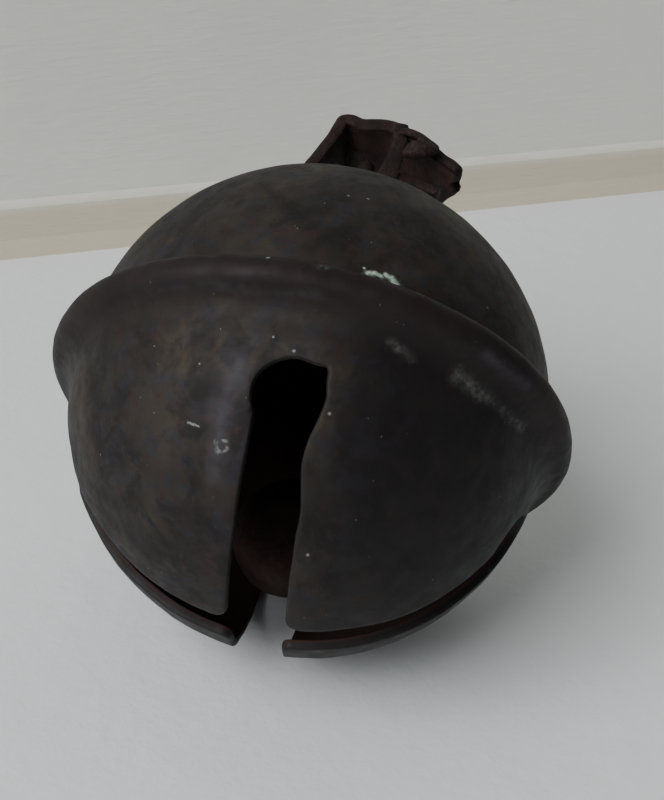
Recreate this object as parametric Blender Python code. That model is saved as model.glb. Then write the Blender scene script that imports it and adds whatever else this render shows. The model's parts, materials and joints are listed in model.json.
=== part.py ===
"""Four-petal rumbler bell for cattle, lying on its side.

Two spun metal halves meet in a rolled seam, the bead. Crossed slots divide the lower half into
four petals. A loose iron ball rolls inside. A wire eye, peened over a washer inside the crown,
carries what is left of a leather strap, folded over once and tied with a thong.

Everything is modelled about the bell's own axis, local +Z, with the dome's centre at the origin:
local -Y is the front slot, the one that faces up, and local +Y the side that the bell lies on.
The whole assembly is then tilted until the bead and the back keyhole both touch the ground.
"""
import math

import bmesh
import bpy
from mathutils import Matrix, Vector

MM = 0.001

# Driving dimensions of the two shells
DOME_RADIUS = 38.0 * MM
WALL = 1.6 * MM
CUP_RADIUS = 38.2 * MM
CUP_DROP = 3.2 * MM               # how far the cup's centre lies below the dome's
GAP = 0.3 * MM                    # between pieces that touch
TURN_STEPS = 64
DOME_STEPS = 10
CUP_STEPS = 10

# Rolled seam: the cup's rim curls over a flange on the dome
BEAD_CENTRE = (39.45 * MM, -2.5 * MM)
BEAD_RADIUS = 2.88 * MM
BEAD_WALL = 1.4 * MM
BEAD_STEPS = 9
BLEND_RADIUS = 6.0 * MM           # hollow curve from the bead into the cup
BLEND_STEPS = 3
FLANGE_TOP = -2.0 * MM
FLANGE_THICKNESS = 1.4 * MM

# Slots between the petals, as half widths, and the keyholes that they end in
FRONT_SLOT = 4.35 * MM
BACK_SLOT = 3.9 * MM
SIDE_SLOT = 3.6 * MM
TIP_RADIUS = 2.5 * MM             # rounding of each petal's tip
TIP_STEPS = 4
KEYHOLE_RADIUS = 5.3 * MM
KEYHOLE_LATITUDE = math.radians(-23.5)
KEYHOLE_STEPS = 24
KEYHOLE_CUTTER_LENGTH = 16.0 * MM
CUTTER_REACH = 60.0 * MM

# Loose ball
BALL_RADIUS = 10.2 * MM
BALL_PLAY = 0.9 * MM

# Wire eye through the crown, with its washer
WIRE_RADIUS = 1.4 * MM
EYE_HALF_SPAN = 6.0 * MM
EYE_BEND = 3.2 * MM
EYE_RISE = 6.4 * MM               # from the crown to the middle of the wire
HEAD_SCALE = 1.55                 # peened end, against the wire
HEAD_TOP = 33.8 * MM
HEAD_BOTTOM = 32.95 * MM
WASHER_RADIUS = 9.0 * MM
WASHER_THICKNESS = 1.0 * MM
WASHER_STEPS = 24
WIRE_HOLE = WIRE_RADIUS + 0.35 * MM
HOLE_STEPS = 16

# Leather strap, folded over the eye: places are across the bell and above the crown
LEATHER = 2.0 * MM
STRAP_HALF_WIDTH = 8.0 * MM
STRAP_LIFT = 3.5 * MM             # from the crown to the middle of the lower run
STRAP_UPPER_END = (15.8 * MM, 6.7 * MM)
STRAP_SHOULDER = (5.2 * MM, 13.65 * MM)
STRAP_TOP_FOLD = (-5.6 * MM, 12.35 * MM)
STRAP_LOW_FOLD = (-10.3 * MM, -0.5 * MM)
STRAP_RISE = -3.0 * MM            # where the lower run, rising from the fold, levels out
STRAP_LOWER_END = 13.0 * MM
SHOULDER_BEND = 8.0 * MM
TOP_FOLD_BEND = 1.6 * MM
LOW_FOLD_BEND = 1.1 * MM
TORN_CORNER = (13.2 * MM, 16.5 * MM)   # how far the torn upper end reaches, at the back and in front
TORN_START = -4.0 * MM
NECK_HALF_WIDTH = 3.0 * MM        # where the strap is cut narrow to pass the eye
NECK_HALF_LENGTH = 3.2 * MM

# Thong round both runs of the strap, and its knot
THONG_CENTRE = 4.4 * MM
THONG_HALF_WIDTH = 1.8 * MM
THONG_THICKNESS = 0.8 * MM
THONG_GROOVE = 13.2 * MM          # height of the seat that the thong has pressed into the upper run
KNOT_CENTRE = Vector((8.4 * MM, -9.9 * MM, 8.0 * MM))
KNOT_RADII = Vector((2.9 * MM, 1.5 * MM, 1.9 * MM))

CUP_CENTRE = Vector((0.0, 0.0, -CUP_DROP))
EYE_BAR = Vector((0.0, 0.0, DOME_RADIUS + EYE_RISE))


# ---------------------------------------------------------------- outlines

def arc(centre, radius, start, end, steps):
    """Points on a circle from one angle to another, in degrees, both ends included."""
    angles = [math.radians(start + (end - start) * i / steps) for i in range(steps + 1)]
    return [(centre[0] + radius * math.cos(a), centre[1] + radius * math.sin(a)) for a in angles]


def angle_from(centre, point):
    """Direction from a circle's centre to a point, in degrees."""
    return math.degrees(math.atan2(point[1] - centre[1], point[0] - centre[0]))


def blend_centre(circle_a, circle_b, radius):
    """Centre of the lower circle that touches both circles from outside."""
    (ax, ay), ra = circle_a
    (bx, by), rb = circle_b
    ra, rb = ra + radius, rb + radius
    span = math.hypot(bx - ax, by - ay)
    along = (span ** 2 + ra ** 2 - rb ** 2) / (2 * span)
    across = math.sqrt(ra ** 2 - along ** 2)
    ux, uy = (bx - ax) / span, (by - ay) / span
    return ax + along * ux + across * uy, ay + along * uy - across * ux


def rounded_path(points, radii, steps):
    """A path through corner points with each inner corner rounded to its radius."""
    path = [Vector(points[0])]
    for before, corner, after, radius in zip(points, points[1:], points[2:], radii):
        corner = Vector(corner)
        back = (Vector(before) - corner).normalized()
        ahead = (Vector(after) - corner).normalized()
        half = back.angle(ahead) / 2
        centre = corner + (back + ahead).normalized() * (radius / math.sin(half))
        first = corner + back * (radius / math.tan(half)) - centre
        turn = first.angle_signed(corner + ahead * (radius / math.tan(half)) - centre)
        for i in range(steps + 1):
            spoke = first.copy()
            spoke.rotate(Matrix.Rotation(-turn * i / steps, 2))
            path.append(centre + spoke)
    path.append(Vector(points[-1]))
    return path


def rectangle(left, right, low, high):
    return [(left, low), (right, low), (right, high), (left, high)]


def ribbon_outline(path, thickness):
    """Closed outline of a strip of even thickness along a path."""
    left, right = [], []
    for i, point in enumerate(path):
        ahead = path[min(i + 1, len(path) - 1)] - point
        behind = point - path[max(i - 1, 0)]
        along = (ahead.normalized() + behind.normalized()).normalized()
        side = Vector((-along.y, along.x)) * thickness / 2
        left.append(point + side)
        right.append(point - side)
    return left + right[::-1]


# ---------------------------------------------------------------- objects

def clear_scene():
    for obj in list(bpy.data.objects):
        bpy.data.objects.remove(obj)


def make_material(name, colour, roughness, metallic):
    material = bpy.data.materials.new(name)
    material.use_nodes = True
    shader = material.node_tree.nodes["Principled BSDF"]
    shader.inputs["Base Color"].default_value = (*colour, 1.0)
    shader.inputs["Roughness"].default_value = roughness
    shader.inputs["Metallic"].default_value = metallic
    return material


def add_object(name, data, material=None):
    obj = bpy.data.objects.new(name, data)
    bpy.context.scene.collection.objects.link(obj)
    if material:
        data.materials.append(material)
    return obj


def add_from_bmesh(name, bm, material=None):
    bmesh.ops.recalc_face_normals(bm, faces=bm.faces)
    mesh = bpy.data.meshes.new(name)
    bm.to_mesh(mesh)
    bm.free()
    return add_object(name, mesh, material)


def add_empty(name, location, parent=None):
    empty = bpy.data.objects.new(name, None)
    bpy.context.scene.collection.objects.link(empty)
    empty.location = location
    empty.parent = parent
    return empty


def turned(name, profile, closed, steps, material):
    """Turn a profile about Z. It runs down its outer side first, then back up inside."""
    count = len(profile)
    edges = [(i, (i + 1) % count) for i in range(count if closed else count - 1)]
    mesh = bpy.data.meshes.new(name)
    mesh.from_pydata([(r, 0.0, z) for r, z in profile], edges, [])
    obj = add_object(name, mesh, material)
    screw = obj.modifiers.new("Turn", "SCREW")
    screw.axis = "Z"
    screw.steps = steps
    screw.render_steps = steps
    screw.use_merge_vertices = True
    screw.merge_threshold = 0.00001
    screw.use_smooth_shade = True
    return obj


def extruded(name, outline, axis, low, high, material=None):
    """Extrude an outline along Y, with the outline in X and Z, or along Z, with it in X and Y."""
    lift = Vector((0.0, high - low, 0.0)) if axis == "Y" else Vector((0.0, 0.0, high - low))
    bm = bmesh.new()
    corners = [(u, low, v) if axis == "Y" else (u, v, low) for u, v in outline]
    face = bm.faces.new([bm.verts.new(corner) for corner in corners])
    grown = bmesh.ops.extrude_face_region(bm, geom=[face])["geom"]
    bmesh.ops.translate(bm, vec=lift, verts=[v for v in grown if isinstance(v, bmesh.types.BMVert)])
    return add_from_bmesh(name, bm, material)


def cylinder(name, radius, centre, direction, length, steps):
    bm = bmesh.new()
    bmesh.ops.create_cone(bm, cap_ends=True, segments=steps, radius1=radius, radius2=radius, depth=length)
    obj = add_from_bmesh(name, bm)
    obj.rotation_euler = Vector(direction).to_track_quat("Z", "Y").to_euler()
    obj.location = centre
    return obj


def cut(obj, cutter, operation="DIFFERENCE"):
    """Cut a piece with a guide object, which stays in the scene but is never part of the bell."""
    cutter.hide_render = True
    cutter.display_type = "WIRE"
    cutter.parent = obj.parent
    boolean = obj.modifiers.new(cutter.name, "BOOLEAN")
    boolean.operation = operation
    boolean.object = cutter


def set_origin(obj, point):
    """Move an object's origin to a point on its joint's axis, leaving its shape where it is."""
    obj.data.transform(Matrix.Translation(-point))
    obj.location = (0.0, 0.0, 0.0)


# ---------------------------------------------------------------- shells

def dome_profile():
    inner_radius = DOME_RADIUS - WALL
    flange_radius = BEAD_CENTRE[0] + BEAD_RADIUS - BEAD_WALL - GAP
    flange_bottom = FLANGE_TOP - FLANGE_THICKNESS
    flange = [
        (DOME_RADIUS, FLANGE_TOP),
        (flange_radius, FLANGE_TOP),
        (flange_radius, flange_bottom),
        (inner_radius, flange_bottom),
    ]
    outside = arc((0.0, 0.0), DOME_RADIUS, 90, 0, DOME_STEPS)
    inside = arc((0.0, 0.0), inner_radius, 0, 90, DOME_STEPS)
    return outside + flange + inside


def cup_profile():
    cup_centre = (0.0, -CUP_DROP)
    lip_radius = DOME_RADIUS + GAP
    lip_angle = math.degrees(math.acos((lip_radius - BEAD_CENTRE[0]) / BEAD_RADIUS))
    blend = blend_centre(((0.0, -CUP_DROP), CUP_RADIUS), (BEAD_CENTRE, BEAD_RADIUS), BLEND_RADIUS)
    bead_end = angle_from(BEAD_CENTRE, blend)
    cup_start = angle_from(cup_centre, blend)
    bead = arc(BEAD_CENTRE, BEAD_RADIUS, lip_angle, bead_end, BEAD_STEPS)
    hollow = arc(blend, BLEND_RADIUS, bead_end + 180, cup_start + 180, BLEND_STEPS)
    outside = arc(cup_centre, CUP_RADIUS, cup_start, -87, CUP_STEPS)
    inner_radius = CUP_RADIUS - WALL
    floor = FLANGE_TOP - FLANGE_THICKNESS - GAP
    roof = FLANGE_TOP + GAP
    floor_angle = math.degrees(math.asin((floor + CUP_DROP) / inner_radius))
    inside = arc(cup_centre, inner_radius, -87, floor_angle, CUP_STEPS)
    cavity_radius = BEAD_CENTRE[0] + BEAD_RADIUS - BEAD_WALL
    cavity = [(cavity_radius, floor), (cavity_radius, roof), (lip_radius, roof)]
    return bead + hollow[1:-1] + outside + inside + cavity


def keyhole_centre(side):
    """Centre of a keyhole on the cup's wall; side is a unit vector across the bell."""
    out = Vector(side) * math.cos(KEYHOLE_LATITUDE) + Vector((0, 0, math.sin(KEYHOLE_LATITUDE)))
    return CUP_CENTRE + out * CUP_RADIUS, out


def slot_outline():
    """The crossed slots seen along the bell's axis, with the petals' tips rounded."""
    outline = []
    for sx, sy, slot in ((1, 1, BACK_SLOT), (-1, 1, BACK_SLOT), (-1, -1, FRONT_SLOT), (1, -1, FRONT_SLOT)):
        tip = arc((slot + TIP_RADIUS, SIDE_SLOT + TIP_RADIUS), TIP_RADIUS, 270, 180, TIP_STEPS)
        corner = [(CUTTER_REACH, SIDE_SLOT)] + tip + [(slot, CUTTER_REACH)]
        if sx * sy < 0:
            corner.reverse()
        outline += [(sx * x, sy * y) for x, y in corner]
    return outline


def make_dome(parent, material):
    dome = turned("upper_dome", dome_profile(), False, TURN_STEPS, material)
    dome.parent = parent
    return dome


def make_cup(parent, material):
    cup = turned("lower_cup", cup_profile(), True, TURN_STEPS, material)
    cup.parent = parent
    slot_top = keyhole_centre((0, 1, 0))[0].z
    cut(cup, extruded("slot_cutter", slot_outline(), "Z", -CUTTER_REACH, slot_top))
    sides = {"front": (0, -1, 0), "back": (0, 1, 0), "left": (-1, 0, 0), "right": (1, 0, 0)}
    for name, side in sides.items():
        centre, out = keyhole_centre(side)
        cut(cup, cylinder(f"{name}_keyhole_cutter", KEYHOLE_RADIUS, centre, out, KEYHOLE_CUTTER_LENGTH,
                          KEYHOLE_STEPS))
    return cup


# ---------------------------------------------------------------- ball, eye and washer

def make_ball(pivot, material):
    reach = CUP_RADIUS - WALL - BALL_PLAY - BALL_RADIUS
    bm = bmesh.new()
    bmesh.ops.create_icosphere(bm, subdivisions=4, radius=BALL_RADIUS)
    ball = add_from_bmesh("clapper_ball", bm, material)
    ball.parent = pivot
    ball.location = pivot.parent.matrix_world.to_3x3().inverted() @ Vector((0, 0, -reach))
    return ball


def make_eye(parent, material):
    """Wire eye: a squared arch over the crown with both ends peened inside."""
    rim = DOME_RADIUS + EYE_RISE
    corners = [(-EYE_HALF_SPAN, HEAD_BOTTOM), (-EYE_HALF_SPAN, rim), (EYE_HALF_SPAN, rim),
               (EYE_HALF_SPAN, HEAD_BOTTOM)]
    path = rounded_path(corners, (EYE_BEND, EYE_BEND), 6)
    shank = HEAD_TOP + 0.1 * MM
    left = [(-EYE_HALF_SPAN, HEAD_BOTTOM, HEAD_SCALE), (-EYE_HALF_SPAN, HEAD_TOP, HEAD_SCALE),
            (-EYE_HALF_SPAN, shank, 1.0)]
    right = [(-y, z, scale) for y, z, scale in reversed(left)]
    stations = left + [(p.x, p.y, 1.0) for p in path[1:-1]] + right
    curve = bpy.data.curves.new("hanger_eye", "CURVE")
    curve.dimensions = "3D"
    curve.bevel_depth = WIRE_RADIUS
    curve.bevel_resolution = 4
    curve.use_fill_caps = True
    spline = curve.splines.new("POLY")
    spline.points.add(len(stations) - 1)
    for point, (y, z, scale) in zip(spline.points, stations):
        point.co = (0.0, y, z, 1.0)
        point.radius = scale
    eye = add_object("hanger_eye", curve, material)
    eye.parent = parent
    return eye


def make_washer(parent, material):
    top = DOME_RADIUS - WALL - GAP
    bottom = top - WASHER_THICKNESS
    top_edge = math.degrees(math.acos(WASHER_RADIUS / top))
    bottom_edge = math.degrees(math.acos(WASHER_RADIUS / bottom))
    profile = arc((0, 0), top, 90, top_edge, 4) + arc((0, 0), bottom, bottom_edge, 90, 4)
    washer = turned("clench_washer", profile, False, WASHER_STEPS, material)
    washer.parent = parent
    return washer


def drill_for_wire(*pieces):
    for name, y in (("front", -EYE_HALF_SPAN), ("back", EYE_HALF_SPAN)):
        drill = cylinder(f"{name}_wire_hole_cutter", WIRE_HOLE, (0, y, DOME_RADIUS), (0, 0, 1),
                         DOME_RADIUS / 2, HOLE_STEPS)
        for piece in pieces:
            cut(piece, drill)


# ---------------------------------------------------------------- strap and thong

def strap_path():
    """Middle of the leather from the upper end, round the fold, to the lower end."""
    run_radius = DOME_RADIUS + STRAP_LIFT
    start = math.degrees(math.acos(STRAP_RISE / run_radius))
    end = math.degrees(math.acos(STRAP_LOWER_END / run_radius))
    lower = [Vector(point) for point in arc((0.0, 0.0), run_radius, start, end, 6)]
    corners = (STRAP_UPPER_END, STRAP_SHOULDER, STRAP_TOP_FOLD, STRAP_LOW_FOLD)
    corners = [(x, z + DOME_RADIUS) for x, z in corners] + [lower[0]]
    upper = rounded_path(corners, (SHOULDER_BEND, TOP_FOLD_BEND, LOW_FOLD_BEND), 5)
    return upper + lower[1:]


def make_strap(pivot, material):
    outline = ribbon_outline(strap_path(), LEATHER)
    strap = extruded("strap", outline, "Y", -STRAP_HALF_WIDTH, STRAP_HALF_WIDTH, material)
    strap.parent = pivot
    cutters = []
    low = DOME_RADIUS
    high = DOME_RADIUS + STRAP_LIFT + LEATHER
    for name, side in (("front", -1), ("back", 1)):
        middle = side * (NECK_HALF_WIDTH + STRAP_HALF_WIDTH)
        box = rectangle(-NECK_HALF_LENGTH, NECK_HALF_LENGTH, low, high)
        ends = (middle - STRAP_HALF_WIDTH, middle + STRAP_HALF_WIDTH)
        cutters.append(extruded(f"{name}_notch_cutter", box, "Y", *ends))
    half_groove = THONG_HALF_WIDTH + GAP
    groove = rectangle(THONG_CENTRE - half_groove, THONG_CENTRE + half_groove, DOME_RADIUS + THONG_GROOVE,
                       CUTTER_REACH)
    cutters.append(extruded("thong_groove_cutter", groove, "Y", -2 * STRAP_HALF_WIDTH, 2 * STRAP_HALF_WIDTH))
    back, front = TORN_CORNER
    corner = [(front, TORN_START), (CUTTER_REACH, TORN_START), (CUTTER_REACH, 2 * STRAP_HALF_WIDTH)]
    slope = (front - back) / (STRAP_HALF_WIDTH - TORN_START)
    corner.append((back - slope * STRAP_HALF_WIDTH, 2 * STRAP_HALF_WIDTH))
    cutters.append(extruded("torn_end_cutter", corner, "Z", DOME_RADIUS, CUTTER_REACH))
    for piece in [strap] + cutters:
        set_origin(piece, EYE_BAR)
    for cutter in cutters:
        cut(strap, cutter)


def make_thong(pivot, material):
    """Flat thong once round both runs of the strap, with its knot in front."""
    run_underside = DOME_RADIUS + STRAP_LIFT - LEATHER / 2
    far_edge = THONG_CENTRE + THONG_HALF_WIDTH
    low = math.sqrt(run_underside ** 2 - far_edge ** 2) - GAP
    high = DOME_RADIUS + THONG_GROOVE + GAP
    side = STRAP_HALF_WIDTH + GAP
    left = THONG_CENTRE - THONG_HALF_WIDTH
    outer = THONG_THICKNESS + side
    band = rectangle(left, far_edge, low - THONG_THICKNESS, high + THONG_THICKNESS)
    thong = extruded("thong", band, "Y", -outer, outer, material)
    thong.parent = pivot
    opening = rectangle(left - GAP, far_edge + GAP, low, high)
    window = extruded("thong_window_cutter", opening, "Y", -side, side)
    bm = bmesh.new()
    bmesh.ops.create_icosphere(bm, subdivisions=3, radius=1.0)
    centre = KNOT_CENTRE + Vector((0, 0, DOME_RADIUS))
    place = Matrix.Translation(centre) @ Matrix.Diagonal((*KNOT_RADII, 1.0))
    bmesh.ops.transform(bm, verts=bm.verts, matrix=place)
    knot = add_from_bmesh("knot_guide", bm)
    for piece in (thong, window, knot):
        set_origin(piece, EYE_BAR)
    cut(thong, window)
    cut(thong, knot, "UNION")


# ---------------------------------------------------------------- assembly

def resting_tilt():
    """Angle of the bell's axis above the ground when bead and back keyhole both touch it.

    With the axis at t, the bead, x out and d down, reaches x cos t + d sin t + r below the
    dome's centre. The cup, c down, reaches k + c sin t at the keyhole's two edges. Both are
    on the ground when x cos t - (c - d) sin t = k - r, and k depends a little on t.
    """
    drop = CUP_DROP + BEAD_CENTRE[1]
    length = math.hypot(BEAD_CENTRE[0], drop)
    tilt = -KEYHOLE_LATITUDE
    for _ in range(8):
        above_hole = CUP_RADIUS * (tilt + KEYHOLE_LATITUDE)
        reach = math.sqrt(CUP_RADIUS ** 2 - KEYHOLE_RADIUS ** 2 + above_hole ** 2)
        tilt = math.acos((reach - BEAD_RADIUS) / length) - math.atan2(drop, BEAD_CENTRE[0])
    return tilt


def stand_on_origin(bell):
    """Move the assembly so that its box stands on Z = 0 with its middle over the origin."""
    bpy.context.view_layer.update()
    graph = bpy.context.evaluated_depsgraph_get()
    low = Vector((math.inf,) * 3)
    high = -low
    for obj in bpy.data.objects:
        if obj.type == "EMPTY" or obj.hide_render:
            continue
        evaluated = obj.evaluated_get(graph)
        mesh = evaluated.to_mesh()
        for vertex in mesh.vertices:
            place = obj.matrix_world @ vertex.co
            low = Vector(map(min, low, place))
            high = Vector(map(max, high, place))
        evaluated.to_mesh_clear()
    bell.location = -Vector(((low.x + high.x) / 2, (low.y + high.y) / 2, low.z))
    bpy.context.view_layer.update()


def main():
    clear_scene()
    brass = make_material("patinated_brass", (0.045, 0.038, 0.034), 0.5, 0.8)
    bead_brass = make_material("patinated_brass_cup", (0.042, 0.038, 0.038), 0.5, 0.8)
    iron = make_material("rusty_iron", (0.035, 0.016, 0.012), 0.85, 0.2)
    wire = make_material("eye_wire", (0.05, 0.034, 0.024), 0.6, 0.7)
    steel = make_material("washer_metal", (0.05, 0.042, 0.036), 0.6, 0.7)
    leather = make_material("strap_leather", (0.022, 0.012, 0.010), 0.75, 0.0)
    thong_leather = make_material("thong_leather", (0.03, 0.017, 0.013), 0.7, 0.0)

    bell = add_empty("bell", (0, 0, 0))
    bell.rotation_euler = (resting_tilt() - math.pi / 2, 0, 0)
    bpy.context.view_layer.update()
    ball_pivot = add_empty("ball_pivot", CUP_CENTRE, bell)
    strap_pivot = add_empty("strap_pivot", EYE_BAR, bell)

    dome = make_dome(bell, brass)
    make_cup(bell, bead_brass)
    make_eye(bell, wire)
    washer = make_washer(bell, steel)
    drill_for_wire(dome, washer)
    make_ball(ball_pivot, iron)
    make_strap(strap_pivot, leather)
    make_thong(strap_pivot, thong_leather)
    stand_on_origin(bell)


main()
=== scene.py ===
"""Looks of the four-petal rumbler bell: patinated brass, rusty ball, leather strap and thong.

Bell space, used for every piece, is the bell's own frame: the dome's centre at the origin, +Z
towards the crown, +X to the right and -Y towards the front slot, the one that faces up. Pieces
are modelled there in millimetres and placed by the matrix BELL, which comes from the joints.
"""
import json
import math

import bmesh
import bpy
import numpy as np
from mathutils import Matrix, Vector, noise
from mathutils.geometry import delaunay_2d_cdt


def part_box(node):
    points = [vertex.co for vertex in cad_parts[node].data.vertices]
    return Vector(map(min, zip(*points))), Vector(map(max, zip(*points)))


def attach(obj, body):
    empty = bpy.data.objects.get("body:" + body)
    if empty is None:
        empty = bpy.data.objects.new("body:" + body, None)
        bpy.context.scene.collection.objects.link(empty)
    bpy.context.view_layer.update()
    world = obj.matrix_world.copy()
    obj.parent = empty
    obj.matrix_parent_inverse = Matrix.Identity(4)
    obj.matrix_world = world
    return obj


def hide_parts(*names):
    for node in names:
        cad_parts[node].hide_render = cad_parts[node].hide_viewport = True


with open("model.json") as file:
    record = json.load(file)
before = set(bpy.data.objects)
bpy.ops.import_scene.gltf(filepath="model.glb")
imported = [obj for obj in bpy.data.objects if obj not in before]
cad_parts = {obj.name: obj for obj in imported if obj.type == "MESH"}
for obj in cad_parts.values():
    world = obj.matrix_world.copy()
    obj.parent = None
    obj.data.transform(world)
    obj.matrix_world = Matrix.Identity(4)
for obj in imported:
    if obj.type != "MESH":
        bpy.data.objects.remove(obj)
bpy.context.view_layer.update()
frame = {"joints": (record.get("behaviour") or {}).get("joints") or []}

MM = 0.001

# ---------------------------------------------------------------- places from the frame

JOINTS = {joint["name"]: joint for joint in frame["joints"]}
FRONT = Vector(JOINTS["strap_swing"]["axis"]).normalized()
RIGHT = Vector((1.0, 0.0, 0.0))
AXIS = FRONT.cross(RIGHT)
CUP_CENTRE = Vector(JOINTS["clapper_roll"]["pos_m"])
EYE_BAR = Vector(JOINTS["strap_swing"]["pos_m"])


def node_size(node):
    low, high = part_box(node)
    return (high - low) / MM


# ---------------------------------------------------------------- sizes, in millimetres

DOME_RADIUS = 38.0
WALL = 1.6
CUP_RADIUS = 38.2
CUP_DROP = 3.2
BEAD_TUBE = 2.88
BEAD_REACH = node_size("lower_cup").x / 2
BEAD_CENTRE = (BEAD_REACH - BEAD_TUBE, -2.5)
BEAD_WALL = 1.4
BLEND_RADIUS = 6.0
SEAM_GAP = 0.06
FLANGE_TOP = -2.0
FLANGE_BOTTOM = -3.4

SLOT_HALF_WIDTHS = {"right": 3.6, "back": 3.9, "left": 3.6, "front": 4.35}
TIP_RADII = (1.6, 1.7, 2.5, 3.1)  # of the petal after each slot, in the same order
KEYHOLE_RADIUS = 5.3
KEYHOLE_LATITUDE = math.radians(-23.5)

BALL_RADIUS = node_size("clapper_ball").x / 2

WIRE_RADIUS = 1.4
EYE_HALF_SPAN = 6.0
EYE_BEND = 3.2
EYE_TOP = (EYE_BAR - CUP_CENTRE).dot(AXIS) / MM - CUP_DROP
HEAD_BOTTOM = 32.95
HEAD_TOP = 33.8
HEAD_SCALE = 1.55
WASHER_RADIUS = 9.0
WASHER_WALL = 1.0

DOME_CENTRE = CUP_CENTRE + AXIS * CUP_DROP * MM
BELL = Matrix.Translation(DOME_CENTRE) @ Matrix((RIGHT, -FRONT, AXIS)).transposed().to_4x4()

TURN_STEPS = 384
SAMPLE = 0.35                     # spacing of points along a cut edge


# ---------------------------------------------------------------- curves

def arc(centre, radius, start, end, steps):
    """Points on a circle between two angles in degrees, both ends included."""
    turn = np.radians(np.linspace(start, end, steps + 1))
    return np.column_stack((centre[0] + radius * np.cos(turn), centre[1] + radius * np.sin(turn)))


def angle_from(centre, point):
    return math.degrees(math.atan2(point[1] - centre[1], point[0] - centre[0]))


def blend_centre(circle_a, circle_b, radius):
    """Centre of the lower circle that touches both circles from outside."""
    (ax, ay), ra = circle_a
    (bx, by), rb = circle_b
    ra, rb = ra + radius, rb + radius
    span = math.hypot(bx - ax, by - ay)
    along = (span ** 2 + ra ** 2 - rb ** 2) / (2 * span)
    across = math.sqrt(ra ** 2 - along ** 2)
    ux, uy = (bx - ax) / span, (by - ay) / span
    return ax + along * ux + across * uy, ay + along * uy - across * ux


def resample(points, spacing, closed):
    """Points at even steps along a path."""
    points = np.asarray(points, float)
    if closed:
        points = np.vstack((points, points[:1]))
    steps = np.linalg.norm(np.diff(points, axis=0), axis=1)
    travelled = np.concatenate(([0.0], np.cumsum(steps)))
    count = max(4, int(round(travelled[-1] / spacing)))
    stops = np.linspace(0.0, travelled[-1], count + 1)
    if closed:
        stops = stops[:-1]
    return np.column_stack([np.interp(stops, travelled, points[:, k]) for k in range(points.shape[1])])


def rounded_path(points, radii, steps):
    """A path through corner points with each inner corner rounded to its radius."""
    points = [np.array(point, float) for point in points]
    path = [points[0]]
    for before, corner, after, radius in zip(points, points[1:], points[2:], radii):
        back = (before - corner) / np.linalg.norm(before - corner)
        ahead = (after - corner) / np.linalg.norm(after - corner)
        half = math.acos(np.clip(back @ ahead, -1, 1)) / 2
        middle = (back + ahead) / np.linalg.norm(back + ahead)
        centre = corner + middle * radius / math.sin(half)
        first = corner + back * radius / math.tan(half) - centre
        last = corner + ahead * radius / math.tan(half) - centre
        turn = math.pi - 2 * half
        for i in range(steps + 1):
            share = i / steps
            spoke = (math.sin((1 - share) * turn) * first + math.sin(share * turn) * last) / math.sin(turn)
            path.append(centre + spoke)
    path.append(points[-1])
    return np.array(path)


def smooth_curve(points, count):
    """A smooth open curve through given points (Catmull-Rom)."""
    points = np.asarray(points, float)
    padded = np.vstack((2 * points[0] - points[1], points, 2 * points[-1] - points[-2]))
    result = []
    for t in np.linspace(0, len(points) - 1, count):
        i = min(int(t), len(points) - 2)
        f = t - i
        p0, p1, p2, p3 = padded[i:i + 4]
        result.append(0.5 * (2 * p1 + (p2 - p0) * f + (2 * p0 - 5 * p1 + 4 * p2 - p3) * f ** 2
                             + (3 * p1 - p0 - 3 * p2 + p3) * f ** 3))
    return np.array(result)


# ---------------------------------------------------------------- meshes

def wander(points, size, seed=0.0):
    """Smooth noise at each point, with features about the given size across."""
    shift = Vector((seed, 1.7 * seed, -0.6 * seed))
    return np.array([noise.noise(Vector(point) / size + shift) for point in points])


def distance_to(points, loops):
    """Distance from each point to the nearest of some closed loops."""
    best = np.full(len(points), np.inf)
    for loop in loops:
        start, end = loop, np.roll(loop, -1, axis=0)
        along = end - start
        length_squared = (along ** 2).sum(1)
        for block in range(0, len(points), 1500):
            offset = points[block:block + 1500, None, :] - start[None]
            share = np.clip((offset * along).sum(2) / length_squared, 0, 1)
            gap = offset - share[..., None] * along
            best[block:block + 1500] = np.minimum(best[block:block + 1500], np.sqrt((gap ** 2).sum(2)).min(1))
    return best


def is_inside(points, loop):
    """Which points lie inside a closed loop."""
    inside = np.zeros(len(points), bool)
    x, y = points[:, 0], points[:, 1]
    for (ax, ay), (bx, by) in zip(loop, np.roll(loop, -1, axis=0)):
        crosses = (ay > y) != (by > y)
        if crosses.any():
            inside[crosses] ^= x[crosses] < (bx - ax) * (y[crosses] - ay) / (by - ay) + ax
    return inside


def unit(rows):
    """Each row scaled to a length of 1."""
    return rows / np.linalg.norm(rows, axis=1)[:, None]


def outward(loop):
    """Unit normals of a closed loop."""
    along = np.roll(loop, -1, axis=0) - np.roll(loop, 1, axis=0)
    return unit(np.column_stack((along[:, 1], -along[:, 0])))


EDGE_ROWS = (0.06, 0.2, 0.42, 0.7, 1.0)   # depths of the rows along a cut edge, as parts of its nose


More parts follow.
